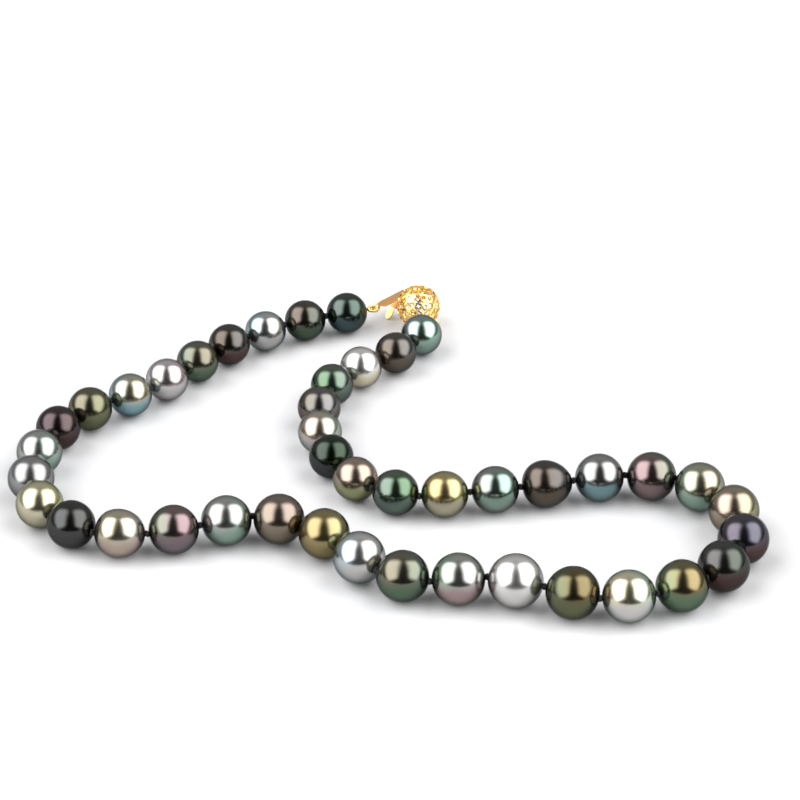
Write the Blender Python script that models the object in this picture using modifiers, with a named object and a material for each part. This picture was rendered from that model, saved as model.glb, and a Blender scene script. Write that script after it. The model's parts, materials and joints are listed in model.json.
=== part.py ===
"""Graduated pearl necklace, knotted on silk, with a gold filigree ball clasp, laid open on a surface.

Every pearl is its own drilled solid on its own pivot: the knots are where the strand bends. The silk thread is one
solid that runs through all the drilled holes and swells into a knot between each two pearls. The clasp is a tongue
with a folded spring leaf at one end, and a ball with a catch box at the other.

Metres, +Z up. The origin is on the surface that the strand lies on, at the middle of the strand's outline.
"""

from math import asin, atan2, cos, hypot, pi, radians, sin, sqrt

import bmesh
import bpy
from mathutils import Matrix, Vector

MM = 0.001

# Strand.
PEARL_COUNT = 43
END_DIAMETER = 8.9 * MM
CENTRE_DIAMETER = 10.7 * MM
GRADUATION_POWER = 2.2  # above 1, the ends stay small for longer
KNOT_GAP = 0.7 * MM  # between two pearls, where the knot sits
KNOT_DIAMETER = 1.3 * MM
KNOT_LENGTH = 0.4 * MM
THREAD_DIAMETER = 0.5 * MM
THREAD_CLEARANCE = 0.3 * MM  # radial, between the thread and a drilled hole
DRILL_RADIUS = THREAD_DIAMETER / 2 + THREAD_CLEARANCE
MIDDLE_PEARL = 22  # the piece that all the others hang from

# Pearls that stand out from the even graduation: extra diameter, girth against length, and how far the shape
# narrows towards its start (above 0) or its end (below 0).
EXTRA_DIAMETER = {14: 0.3 * MM, 18: -0.1 * MM, 20: 0.1 * MM, 22: 0.4 * MM, 23: 0.2 * MM, 32: 0.5 * MM}
GIRTH = {3: 0.98, 14: 0.97, 20: 0.98, 23: 0.99, 32: 0.95, 36: 0.98}
TAPER = {14: -0.05, 23: 0.04, 32: 0.12}

# Where the strand lies, in millimetres on the surface, from the tongue end to the ball end.
ROUTE = [
    (-7.0, 30.5),
    (-21.0, 26.0),
    (-33.0, 19.0),
    (-42.5, 10.0),
    (-50.5, -1.0),
    (-64.0, -10.0),
    (-71.5, -18.0),
    (-75.5, -34.0),
    (-74.0, -48.0),
    (-63.0, -58.5),
    (-46.5, -59.0),
    (-31.0, -53.0),
    (-16.0, -57.5),
    (-6.5, -71.5),
    (5.0, -77.0),
    (20.0, -75.5),
    (38.5, -83.0),
    (54.5, -79.5),
    (67.0, -68.5),
    (69.0, -53.0),
    (60.0, -40.5),
    (47.0, -37.5),
    (29.5, -41.0),
    (15.5, -43.5),
    (-0.5, -45.0),
    (-11.5, -36.0),
    (-16.5, -22.5),
    (-17.0, -7.5),
    (-11.5, 4.0),
    (1.0, 13.0),
    (7.0, 25.0),
]
ROUTE_STRAND_LENGTH = 452.35 * MM  # the strand that the route was laid for; the route grows with the strand
ROUTE_STEPS = 24  # straight steps from one route point to the next

# Clasp.
SEAT_GAP = 0.1 * MM  # between pieces that are soldered or pressed together
RING_RADIUS = 0.95 * MM  # centre line of a ring or wire loop
RING_WIRE = 0.56 * MM
LOOP_WIRE = 0.7 * MM
LOOP_PULL = 0.15 * MM  # how far a ring is pulled off the centre of its wire loop
TONGUE_CLEARANCE = 0.8 * MM  # from the tongue's edge to the ball that it points past
TONGUE_LENGTH = 8.2 * MM
TONGUE_WIDTH = 2.2 * MM
TONGUE_THICKNESS = 0.36 * MM
FOLD_RADIUS = 0.34 * MM
SPRING_LENGTH = 5.0 * MM
SPRING_WIDTH = 2.0 * MM
SPRING_THICKNESS = 0.26 * MM
SPRING_OPENING = radians(22)
TAB_LENGTH = 2.8 * MM
TAB_WIDTH = 1.6 * MM
TAB_THICKNESS = 0.3 * MM
TAB_LIFT = 0.05 * MM  # from the surface to the tab's tip
BALL_DIAMETER = 9.4 * MM
BALL_HEADING = radians(116)
BALL_ROLL = radians(38)  # turns the half shells' seam about the line from ring to slot
SHELL_WALL = 0.4 * MM
SEAM_HEIGHT = 0.5 * MM
LEAF_SPAN = radians(23)  # pierced leaf, along its length, seen from the ball's middle
LEAF_BREADTH = radians(14)
POLE_LEAVES = 5
POLE_LEAF_RISE = radians(63)
BELT_LEAVES = 12
BELT_LEAF_RISE = radians(26)
BELT_SOLID = radians(20)  # unpierced each side of the ring and of the slot
BOX_WALL = 0.3 * MM
BOX_CLEARANCE = 0.1 * MM  # each side of the tongue
BOX_BACK_SPACE = 1.5 * MM  # left free behind the box
SPRING_ROOM = 0.4 * MM
BOX_WIDTH = TONGUE_WIDTH + 2 * (BOX_CLEARANCE + BOX_WALL)
BOX_HEIGHT = TONGUE_THICKNESS + 2 * (FOLD_RADIUS + BOX_CLEARANCE + BOX_WALL) + SPRING_ROOM

# How finely round shapes are cut.
PEARL_SIDES = 12
PEARL_ARCS = 8
RING_SEGMENTS = 16
WIRE_SEGMENTS = 8
SHELL_STEPS = 24
SHELL_ARCS = 6
LEAF_SIDES = 8

# Linear base colours of the nacre families.
NACRE = {
    "ink": (0.02, 0.025, 0.03),
    "peacock": (0.03, 0.06, 0.045),
    "aubergine": (0.045, 0.02, 0.03),
    "silver": (0.34, 0.33, 0.33),
    "silver_blue": (0.2, 0.27, 0.31),
    "steel": (0.1, 0.14, 0.17),
    "seafoam": (0.16, 0.25, 0.21),
    "pistachio": (0.36, 0.36, 0.2),
    "olive": (0.11, 0.1, 0.035),
    "champagne": (0.38, 0.31, 0.26),
    "mauve": (0.17, 0.1, 0.11),
    "bronze": (0.09, 0.06, 0.045),
}
STRAND_NACRE = (
    "ink peacock silver_blue aubergine peacock mauve silver_blue olive aubergine seafoam steel pistachio ink "
    "champagne mauve seafoam bronze olive silver_blue peacock mauve silver olive silver peacock ink aubergine "
    "olive seafoam mauve steel bronze peacock pistachio peacock bronze ink champagne bronze peacock silver "
    "bronze steel"
).split()


# ---------------------------------------------------------------------------------------------- sizes and places


def pearl_length(number):
    """Length along the drilled hole: smallest at both ends of the strand, largest in the middle."""
    largest = (PEARL_COUNT + 2) / 2
    inwards = 1 - abs(number - largest) / ((PEARL_COUNT + 1) / 2)
    graded = END_DIAMETER + (CENTRE_DIAMETER - END_DIAMETER) * sin(pi / 2 * inwards) ** GRADUATION_POWER
    return graded + EXTRA_DIAMETER.get(number, 0.0)


def pearl_outline(number):
    """(radius, height) points of a pearl's profile, from one mouth of its drilled hole to the other."""
    half_length = pearl_length(number) / 2
    half_girth = half_length * GIRTH.get(number, 1.0)
    mouth = asin(DRILL_RADIUS / half_girth)
    points = []
    for step in range(PEARL_ARCS + 1):
        angle = mouth + (pi - 2 * mouth) * step / PEARL_ARCS
        radius = half_girth * sin(angle) * (1 + TAPER.get(number, 0.0) * cos(angle))
        points.append((max(radius, DRILL_RADIUS), half_length * cos(angle)))
    points[0] = (DRILL_RADIUS, points[0][1])
    points[-1] = (DRILL_RADIUS, points[-1][1])
    return points


def pearl_height(number):
    """Height of the drilled hole's axis above the surface."""
    return max(radius for radius, _ in pearl_outline(number))


def strand_length():
    return sum(pearl_length(number) + KNOT_GAP for number in range(1, PEARL_COUNT + 1))


def smooth_route():
    """Closely spaced points of a smooth curve through the route, grown to suit the strand's length."""
    scale = MM * strand_length() / ROUTE_STRAND_LENGTH
    route = [Vector(point) * scale for point in ROUTE]
    before = route[0] * 2 - route[1]
    after = route[-1] * 2 - route[-2]
    padded = [before, *route, after]
    points = []
    for start in range(1, len(padded) - 2):
        a, b, c, d = padded[start - 1 : start + 3]
        for step in range(ROUTE_STEPS):
            t = step / ROUTE_STEPS
            blend = b * 2 + (c - a) * t + (a * 2 - b * 5 + c * 4 - d) * t**2 + (b * 3 - a - c * 3 + d) * t**3
            points.append(blend / 2)
    points.append(route[-1])
    points.append(route[-1] + (route[-1] - points[-2]).normalized() * CENTRE_DIAMETER)
    return points


def crossing(start, end, centre, distance):
    """The point of the straight step from start to end that is this far from centre."""
    along = end - start
    out = start - centre
    a = along.dot(along)
    b = 2 * out.dot(along)
    c = out.dot(out) - distance**2
    return start + along * (-b + sqrt(b * b - 4 * a * c)) / (2 * a)


def knot_places():
    """Flat places of the ends of each pearl's stretch: the knots, and one more point past each end pearl."""
    curve = smooth_route()
    knots = [curve[0]]
    index = 1
    for number in range(1, PEARL_COUNT + 1):
        stretch = pearl_length(number) + KNOT_GAP
        while (curve[index] - knots[-1]).length < stretch:
            index += 1
        knots.append(crossing(curve[index - 1], curve[index], knots[-1], stretch))
    return knots


def middle_of_outline(knots):
    """Middle of the strand's outline on the surface, with the tongue's tip."""
    low = Vector((0.0, 0.0))
    high = Vector((0.0, 0.0))
    for number in range(1, PEARL_COUNT + 1):
        centre = (knots[number - 1] + knots[number]) / 2
        radius = pearl_length(number) / 2
        for axis in (0, 1):
            low[axis] = min(low[axis], centre[axis] - radius)
            high[axis] = max(high[axis], centre[axis] + radius)
    heading = tongue_heading(knots)
    tip = tongue_hook(knots) + heading_vector(heading).to_2d() * (tongue_fold() + FOLD_RADIUS)
    high.y = max(high.y, tip.y + SPRING_WIDTH / 2 * cos(heading))
    return (low + high) / 2


def heading_vector(heading):
    return Vector((cos(heading), sin(heading), 0.0))


def loop_reach(number):
    """From the middle of an end pearl to the middle of its wire loop."""
    return pearl_length(number) / 2 + SEAT_GAP + RING_RADIUS + LOOP_WIRE / 2


def tongue_hook(knots):
    """Flat place where the tongue's ring passes through its wire loop."""
    middle = (knots[0] + knots[1]) / 2
    return middle + (knots[0] - knots[1]).normalized() * (loop_reach(1) + LOOP_PULL)


def ball_hook(knots):
    """Flat place where the ball's ring passes through its wire loop."""
    middle = (knots[-1] + knots[-2]) / 2
    return middle + (knots[-1] - knots[-2]).normalized() * (loop_reach(PEARL_COUNT) + LOOP_PULL)


def tongue_heading(knots):
    """The tongue points past the ball, on its far side, just clear of it."""
    ball = ball_hook(knots) + heading_vector(BALL_HEADING).to_2d() * (ring_outer() + BALL_DIAMETER / 2)
    towards = ball - tongue_hook(knots)
    clear = BALL_DIAMETER / 2 + TONGUE_WIDTH / 2 + TONGUE_CLEARANCE
    return atan2(towards.y, towards.x) + asin(clear / towards.length)


def ring_outer():
    """From a ring's hooked side to the seat on its far side."""
    return 2 * RING_RADIUS + RING_WIRE / 2 + SEAT_GAP


def tongue_fold():
    """From the tongue's hook to the axis of its fold."""
    return ring_outer() + TONGUE_LENGTH + SEAT_GAP + FOLD_RADIUS


def lay_out():
    """Places of the knots with their heights, in the necklace's frame."""
    flat = knot_places()
    middle = middle_of_outline(flat)
    heights = [pearl_height(number) for number in range(1, PEARL_COUNT + 1)]
    heights = [heights[0], *heights, heights[-1]]
    knots = []
    for index, place in enumerate(flat):
        height = (heights[index] + heights[index + 1]) / 2
        knots.append(Vector((place.x - middle.x, place.y - middle.y, height)))
    return knots


def pearl_centre(knots, number):
    centre = (knots[number - 1] + knots[number]) / 2
    centre.z = pearl_height(number)
    return centre


def pearl_axis(knots, number):
    """Direction of a pearl's drilled hole, from its tongue end to its ball end."""
    along = knots[number] - knots[number - 1]
    return Vector((along.x, along.y, 0.0)).normalized()


def pearl_pivot(knots, number):
    """The knot that a pearl turns on: the one on its side nearer the middle pearl."""
    return knots[number] if number < MIDDLE_PEARL else knots[number - 1]


# ------------------------------------------------------------------------------------------- scene and materials


def clear_scene():
    for obj in list(bpy.data.objects):
        bpy.data.objects.remove(obj)


def new_collection(name):
    collection = bpy.data.collections.new(name)
    bpy.context.scene.collection.children.link(collection)
    return collection


def principled(name, colour, roughness, metallic):
    material = bpy.data.materials.get(name)
    if material is None:
        material = bpy.data.materials.new(name)
        material.use_nodes = True
        shader = material.node_tree.nodes["Principled BSDF"]
        shader.inputs["Base Color"].default_value = (*colour, 1.0)
        shader.inputs["Roughness"].default_value = roughness
        shader.inputs["Metallic"].default_value = metallic
    return material


def nacre_material(number):
    family = STRAND_NACRE[(number - 1) % len(STRAND_NACRE)]
    return principled("nacre_" + family, NACRE[family], 0.15, 0.35)


def silk_material():
    return principled("black_silk", (0.012, 0.012, 0.013), 0.8, 0.0)


def gold_material():
    return principled("yellow_gold", (0.83, 0.55, 0.16), 0.2, 1.0)


def brushed_gold_material():
    return principled("brushed_gold", (0.8, 0.47, 0.18), 0.35, 1.0)


def bullion_material():
    return principled("bullion_wire", (0.85, 0.55, 0.22), 0.28, 1.0)


def add_object(name, data, collection, material=None):
    obj = bpy.data.objects.new(name, data)
    collection.objects.link(obj)
    if material is not None:
        obj.data.materials.append(material)
    return obj


def add_empty(name, collection, world, parent=None, parent_world=Vector()):
    """An empty at a world place, unturned, so that a child's location is counted from it."""
    empty = bpy.data.objects.new(name, None)
    empty.empty_display_size = 2 * MM
    collection.objects.link(empty)
    empty.parent = parent
    empty.location = world - parent_world
    return empty


def place(obj, parent, offset, rotation=None):
    obj.parent = parent
    obj.location = offset
    if rotation is not None:
        obj.rotation_euler = rotation.to_euler()


def facing(x_axis, z_axis):
    """The rotation that takes local X and Z to two directions at right angles to each other."""
    y_axis = z_axis.cross(x_axis)
    return Matrix((x_axis, y_axis, z_axis)).transposed()


def mesh_from(builder, name):
    """A mesh from a bmesh, with its smooth shading set and its sharp edges kept."""
    mesh = bpy.data.meshes.new(name)
    builder.to_mesh(mesh)
    builder.free()
    mesh.shade_smooth()
    mesh.set_sharp_from_angle(angle=radians(40))
    return mesh


# --------------------------------------------------------------------------------------------------------- strand


def pearl_profile_mesh(number):
    """Closed profile beside the local Z axis: down the outside of the pearl and back up its drilled hole."""
    builder = bmesh.new()
    points = [builder.verts.new((radius, 0.0, height)) for radius, height in pearl_outline(number)]
    for index, point in enumerate(points):
        builder.edges.new((point, points[(index + 1) % len(points)]))
    mesh = bpy.data.meshes.new("pearl_%02d" % number)
    builder.to_mesh(mesh)
    builder.free()
    return mesh


def add_pearl(number, knots, pivot, collection):
    """A drilled pearl, turned about its hole, which lies along the strand; a profile point touches the surface."""
    name = "pearl_%02d" % number
    obj = add_object(name, pearl_profile_mesh(number), collection, nacre_material(number))
    turn = obj.modifiers.new("turned", "SCREW")
    turn.steps = PEARL_SIDES
    turn.render_steps = PEARL_SIDES
    turn.use_smooth_shade = True
    axis = pearl_axis(knots, number)
    offset = pearl_centre(knots, number) - pearl_pivot(knots, number)
    place(obj, pivot, offset, facing(Vector((0, 0, -1)), axis))
    return obj


def thread_points(knots):
    """(place, radius) along the thread: straight through each pearl, and a barrel knot in each gap."""
    thin = THREAD_DIAMETER / 2
    fat = KNOT_DIAMETER / 2
    points = []
    for number in range(1, PEARL_COUNT + 1):
        axis = pearl_axis(knots, number)
        centre = pearl_centre(knots, number)
        mouth = axis * pearl_length(number) / 2
        shoulder = axis * (pearl_length(number) / 2 + (KNOT_GAP - KNOT_LENGTH) / 2)
        if number > 1:
            points.append((centre - shoulder, fat))
        points.append((centre - mouth, thin))
        points.append((centre + mouth, thin))
        if number < PEARL_COUNT:
            points.append((centre + shoulder, fat))
    return points


def add_thread(knots, parent, collection):
    curve = bpy.data.curves.new("silk_thread", "CURVE")
    curve.dimensions = "3D"
    curve.bevel_depth = 1.0
    curve.bevel_resolution = 2
    curve.use_fill_caps = True
    points = thread_points(knots)
    spline = curve.splines.new("POLY")
    spline.points.add(len(points) - 1)
    for point, (world, radius) in zip(spline.points, points):
        point.co = (*world, 1.0)
        point.radius = radius
    obj = add_object("silk_thread", curve, collection, silk_material())
    place(obj, parent, Vector())
    return obj


# ---------------------------------------------------------------------------------------------------------- clasp


def torus_mesh(name, ring_radius, wire_radius):
    """A wire ring around local Z: a circle spun about the axis."""
    builder = bmesh.new()
    made = bmesh.ops.create_circle(builder, segments=WIRE_SEGMENTS, radius=wire_radius)
    upright = Matrix.Translation((ring_radius, 0, 0)) @ Matrix.Rotation(pi / 2, 4, "X")
    bmesh.ops.transform(builder, matrix=upright, verts=made["verts"])
    bmesh.ops.spin(
        builder,
        geom=builder.verts[:] + builder.edges[:],
        axis=(0, 0, 1),
        cent=(0, 0, 0),
        angle=2 * pi,
        steps=RING_SEGMENTS,
        use_merge=True,
    )
    bmesh.ops.recalc_face_normals(builder, faces=builder.faces)
    return mesh_from(builder, name)


def add_wire_loop(name, offset, parent, collection):
    """The bullion-covered loop of thread at an end of the strand, lying level."""
    mesh = torus_mesh(name, RING_RADIUS, LOOP_WIRE / 2)
    obj = add_object(name, mesh, collection, bullion_material())
    place(obj, parent, offset)
    return obj


def add_ring(name, direction, parent, collection):
    """A ring that stands upright through a wire loop, in line with the piece that it carries."""
    mesh = torus_mesh(name, RING_RADIUS, RING_WIRE / 2)
    obj = add_object(name, mesh, collection, gold_material())
    level = Vector((direction.x, direction.y, 0.0)).normalized()
    place(obj, parent, direction * RING_RADIUS, facing(level, level.cross(Vector((0, 0, 1)))))
    return obj


def outline_mesh(name, points, thickness):
    """A flat outline in local XY, grown to an even thickness about that plane."""
    builder = bmesh.new()
    face = builder.faces.new([builder.verts.new((x, y, -thickness / 2)) for x, y in points])
    grown = bmesh.ops.extrude_face_region(builder, geom=[face])
    top = [item for item in grown["geom"] if isinstance(item, bmesh.types.BMVert)]
    bmesh.ops.translate(builder, vec=(0, 0, thickness), verts=top)
    bmesh.ops.recalc_face_normals(builder, faces=builder.faces)
    return mesh_from(builder, name)


def arc_points(centre_x, centre_y, radius_x, radius_y, start, end, steps):
    angles = [start + (end - start) * step / steps for step in range(steps + 1)]
    return [(centre_x + radius_x * cos(angle), centre_y + radius_y * sin(angle)) for angle in angles]


def add_tongue_leaf(pivot, heading, collection):
    """The flat leaf that carries the tongue, with a rounded foot at its ring."""
    half = TONGUE_WIDTH / 2
    foot = ring_outer()
    points = arc_points(foot + half, 0, half, half, pi / 2, 3 * pi / 2, 8)
    points += [(foot + TONGUE_LENGTH, -half), (foot + TONGUE_LENGTH, half)]
    mesh = outline_mesh("tongue_leaf", points, TONGUE_THICKNESS)
    obj = add_object("tongue_leaf", mesh, collection, brushed_gold_material())
    place(obj, pivot, Vector(), Matrix.Rotation(heading, 3, "Z"))
    return obj


def add_tongue_spring(pivot, along, collection):
    """The folded leaf: a round fold, and a springy strip that runs back under the tongue, seen from the side."""
    half = SPRING_THICKNESS / 2
    bend = asin(half / FOLD_RADIUS)
    points = arc_points(0, 0, FOLD_RADIUS, FOLD_RADIUS, pi - bend, bend - pi, 12)
    points += [(-SPRING_LENGTH, -half), (-SPRING_LENGTH, half)]
    mesh = outline_mesh("tongue_spring", points, SPRING_WIDTH)
    obj = add_object("tongue_spring", mesh, collection, brushed_gold_material())
    strip = along * cos(SPRING_OPENING) + Vector((0, 0, sin(SPRING_OPENING)))
    across = along.cross(Vector((0, 0, 1)))
    place(obj, pivot, Vector(), facing(strip, across))
    return obj


def add_thumb_tab(pivot, along, height, collection):
    """The oval tab on the end of the spring leaf, sloping down until it stands on the surface."""
    strip = -along * cos(SPRING_OPENING) - Vector((0, 0, sin(SPRING_OPENING)))
    root = strip * (SPRING_LENGTH + SEAT_GAP)
    drop = height + root.z - TAB_LIFT - TAB_THICKNESS / 2
    slope = asin(min(drop / TAB_LENGTH, 1.0))
    down = -along * cos(slope) - Vector((0, 0, sin(slope)))
    points = arc_points(TAB_LENGTH / 2, 0, TAB_LENGTH / 2, TAB_WIDTH / 2, 0, 2 * pi, 14)[:-1]
    mesh = outline_mesh("thumb_tab", points, TAB_THICKNESS)
    obj = add_object("thumb_tab", mesh, collection, gold_material())
    across = along.cross(Vector((0, 0, 1)))
    place(obj, pivot, root, facing(down, down.cross(across)))
    return obj


def shell_mesh(name):
    """Half of the ball's wall above the seam, turned about its pole on local Z."""
    outer = BALL_DIAMETER / 2
    inner = outer - SHELL_WALL
    rim = SEAM_HEIGHT / 2 + SEAT_GAP
    points = []
    for radius, backwards in ((outer, False), (inner, True)):
        low = asin(rim / radius)
        arc = [low + (pi / 2 - low) * step / SHELL_ARCS for step in range(SHELL_ARCS + 1)]
        ring = [(radius * cos(angle), radius * sin(angle)) for angle in (arc if backwards else arc[::-1])]
        points += ring
    builder = bmesh.new()
    verts = [builder.verts.new((0.0 if x < 1e-9 else x, 0.0, z)) for x, z in points]
    for start in (verts[: SHELL_ARCS + 1], verts[SHELL_ARCS + 1 :]):
        for one, two in zip(start, start[1:]):
            builder.edges.new((one, two))
    builder.edges.new((verts[SHELL_ARCS], verts[SHELL_ARCS + 1]))
    bmesh.ops.spin(
        builder,
        geom=builder.verts[:] + builder.edges[:],
        axis=(0, 0, 1),
        cent=(0, 0, 0),
        angle=2 * pi,
        steps=SHELL_STEPS,
        use_merge=True,
    )
    bmesh.ops.remove_doubles(builder, verts=builder.verts, dist=0.001 * MM)
    bmesh.ops.recalc_face_normals(builder, faces=builder.faces)
    return mesh_from(builder, name)


def leaf_places():
    """(turn about the pole, rise above the seam) of each pierced leaf of one half shell."""
    places = [(2 * pi * index / POLE_LEAVES, POLE_LEAF_RISE) for index in range(POLE_LEAVES)]
    for index in range(BELT_LEAVES):
        turn = 2 * pi * (index + 0.5) / BELT_LEAVES
        if min(abs(turn), abs(turn - pi), abs(turn - 2 * pi)) > BELT_SOLID:
            places.append((turn, BELT_LEAF_RISE))
    return places


def leaf_cutter_mesh():
    """One radial bar for each pierced leaf, longest towards the pole."""
    builder = bmesh.new()
    stretch = Matrix.Diagonal((LEAF_SPAN * BALL_DIAMETER / 2, LEAF_BREADTH * BALL_DIAMETER / 2, 1.0, 1.0))
    out = Matrix.Translation((0, 0, BALL_DIAMETER / 2))
    for turn, rise in leaf_places():
        made = bmesh.ops.create_cone(
            builder, cap_ends=True, segments=LEAF_SIDES, radius1=0.5, radius2=0.5, depth=4 * SHELL_WALL
        )
        lean = Matrix.Rotation(turn, 4, "Z") @ Matrix.Rotation(pi / 2 - rise, 4, "Y")
        bmesh.ops.transform(builder, matrix=lean @ out @ stretch, verts=made["verts"])
    return mesh_from(builder, "leaf_cutter")


def slot_cutter_mesh():
    """The bar that opens the slot on local +X, over the catch box's mouth."""
    builder = bmesh.new()
    bmesh.ops.create_cube(builder, size=1.0)
    size = (BALL_DIAMETER / 2, BOX_WIDTH - 2 * BOX_WALL, BOX_HEIGHT - 2 * BOX_WALL)
    middle = Matrix.Translation((BALL_DIAMETER / 2, 0, 0))
    bmesh.ops.transform(builder, matrix=middle @ Matrix.Diagonal((*size, 1.0)), verts=builder.verts)
    return mesh_from(builder, "slot_cutter")


def add_cutter(name, mesh, parent, offset, rotation, collection):
    cutter = add_object(name, mesh, collection)
    cutter.hide_render = True
    cutter.display_type = "WIRE"
    place(cutter, parent, offset, rotation)
    return cutter


def cut(obj, cutter):
    boolean = obj.modifiers.new(cutter.name, "BOOLEAN")
    boolean.operation = "DIFFERENCE"
    boolean.object = cutter


def ball_centre_offset(hook_height):
    """From the hook of the ball's ring to the ball's centre; the ball rests on the surface."""
    reach = ring_outer() + BALL_DIAMETER / 2
    rise = asin((BALL_DIAMETER / 2 - hook_height) / reach)
    level = heading_vector(BALL_HEADING)
    return (level * cos(rise) + Vector((0, 0, sin(rise)))) * reach


def ball_frame(centre_offset):
    """Local X from ring to slot, and local Z to the pole of the near half shell."""
    x_axis = centre_offset.normalized()
    across = Vector((0, 0, 1)).cross(x_axis).normalized()
    upwards = x_axis.cross(across)
    z_axis = upwards * cos(BALL_ROLL) + across * sin(BALL_ROLL)
    return x_axis, z_axis


def add_ball(pivot, hook_height, collection, cutters):
    """The ball: two pierced half shells on a seam band, with the catch box behind its slot."""
    offset = ball_centre_offset(hook_height)
    x_axis, z_axis = ball_frame(offset)
    near = facing(x_axis, z_axis)
    far = facing(x_axis, -z_axis)
    slot = add_cutter("slot_cutter", slot_cutter_mesh(), pivot, offset, near, cutters)
    for name, rotation in (("ball_shell_near", near), ("ball_shell_far", far)):
        shell = add_object(name, shell_mesh(name), collection, gold_material())
        place(shell, pivot, offset, rotation)
        leaves = add_cutter(name + "_leaves", leaf_cutter_mesh(), pivot, offset, rotation, cutters)
        cut(shell, leaves)
        cut(shell, slot)
    band = add_object("seam_band", seam_band_mesh(), collection, gold_material())
    place(band, pivot, offset, near)
    cut(band, slot)
    box = add_object("catch_box", catch_box_mesh(), collection, gold_material())
    place(box, pivot, offset, near)


def seam_band_mesh():
    """The flat band that the half shells are soldered to, around local Z."""
    outer = BALL_DIAMETER / 2
    half = SEAM_HEIGHT / 2
    builder = bmesh.new()
    corners = [(outer - SHELL_WALL, -half), (outer, -half), (outer, half), (outer - SHELL_WALL, half)]
    verts = [builder.verts.new((x, 0.0, z)) for x, z in corners]
    for index in range(4):
        builder.edges.new((verts[index], verts[(index + 1) % 4]))
    bmesh.ops.spin(
        builder,
        geom=builder.verts[:] + builder.edges[:],
        axis=(0, 0, 1),
        cent=(0, 0, 0),
        angle=2 * pi,
        steps=SHELL_STEPS,
        use_merge=True,
    )
    bmesh.ops.recalc_face_normals(builder, faces=builder.faces)
    return mesh_from(builder, "seam_band")


def catch_box_mesh():
    """A box along local X with one open end, just inside the slot; the tongue's spring leaf catches in it."""
    inner_radius = BALL_DIAMETER / 2 - SHELL_WALL - SEAT_GAP
    mouth = sqrt(inner_radius**2 - hypot(BOX_WIDTH / 2, BOX_HEIGHT / 2) ** 2)
    length = 2 * mouth - BOX_BACK_SPACE
    builder = bmesh.new()
    bmesh.ops.create_cube(builder, size=1.0)
    size = (length, BOX_WIDTH, BOX_HEIGHT)
    middle = Matrix.Translation((mouth - length / 2, 0, 0))
    bmesh.ops.transform(builder, matrix=middle @ Matrix.Diagonal((*size, 1.0)), verts=builder.verts)
    end = max(builder.faces, key=lambda face: face.calc_center_median().x)
    bmesh.ops.inset_region(builder, faces=[end], thickness=BOX_WALL, use_even_offset=True)
    pushed = bmesh.ops.extrude_face_region(builder, geom=[end])
    bmesh.ops.delete(builder, geom=[end], context="FACES_ONLY")
    floor = [item for item in pushed["geom"] if isinstance(item, bmesh.types.BMVert)]
    bmesh.ops.translate(builder, vec=(BOX_WALL - length, 0, 0), verts=floor)
    bmesh.ops.recalc_face_normals(builder, faces=builder.faces)
    return mesh_from(builder, "catch_box")


# ------------------------------------------------------------------------------------------------------- assembly


def strand_order():
    """Pearl numbers with the pearl each one turns on, from the middle pearl outwards."""
    order = [(MIDDLE_PEARL, None)]
    order += [(number, number - 1) for number in range(MIDDLE_PEARL + 1, PEARL_COUNT + 1)]
    order += [(number, number + 1) for number in range(MIDDLE_PEARL - 1, 0, -1)]
    return order


def build_strand(knots, root, collection):
    """All the pearls, each on a pivot at its knot; returns each pearl's pivot and its place."""
    pivots = {}
    for number, inner in strand_order():
        world = pearl_pivot(knots, number)
        if inner is None:
            pivot = add_empty("pivot_%02d" % number, collection, world, root)
        else:
            parent, parent_world = pivots[inner]
            pivot = add_empty("pivot_%02d" % number, collection, world, parent, parent_world)
        pivots[number] = (pivot, world)
        add_pearl(number, knots, pivot, collection)
    return pivots


def build_tongue(knots, pivots, collection):
    """The tongue end: wire loop, ring, leaf, and the spring leaf with its tab on a pivot at the fold."""
    parent, parent_world = pivots[1]
    outwards = -pearl_axis(knots, 1)
    loop = pearl_centre(knots, 1) + outwards * loop_reach(1)
    add_wire_loop("wire_loop_tongue", loop - parent_world, parent, collection)
    hook = loop + outwards * LOOP_PULL
    pivot = add_empty("pivot_tongue", collection, hook, parent, parent_world)
    heading = tongue_heading([knot.to_2d() for knot in knots])
    along = heading_vector(heading)
    add_ring("tongue_ring", along, pivot, collection)
    add_tongue_leaf(pivot, heading, collection)
    drop = (TONGUE_THICKNESS + SPRING_THICKNESS + SEAT_GAP) / 2
    fold = hook + along * tongue_fold() - Vector((0, 0, drop))
    fold_pivot = add_empty("pivot_spring", collection, fold, pivot, hook)
    add_tongue_spring(fold_pivot, along, collection)
    add_thumb_tab(fold_pivot, along, fold.z, collection)


def build_ball(knots, pivots, collection, cutters):
    """The ball end: wire loop, ring and ball."""
    parent, parent_world = pivots[PEARL_COUNT]
    outwards = pearl_axis(knots, PEARL_COUNT)
    loop = pearl_centre(knots, PEARL_COUNT) + outwards * loop_reach(PEARL_COUNT)
    add_wire_loop("wire_loop_ball", loop - parent_world, parent, collection)
    hook = loop + outwards * LOOP_PULL
    pivot = add_empty("pivot_ball", collection, hook, parent, parent_world)
    add_ring("ball_ring", ball_centre_offset(hook.z).normalized(), pivot, collection)
    add_ball(pivot, hook.z, collection, cutters)


def main():
    clear_scene()
    collection = new_collection("pearl_necklace")
    cutters = new_collection("cutters")
    knots = lay_out()
    root = add_empty("necklace", collection, Vector())
    pivots = build_strand(knots, root, collection)
    add_thread(knots, root, collection)
    build_tongue(knots, pivots, collection)
    build_ball(knots, pivots, collection, cutters)
    bpy.context.view_layer.update()


main()
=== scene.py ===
"""Looks of a knotted pearl necklace: pearls, silk knots, an openwork ball clasp and a studio."""

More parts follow.
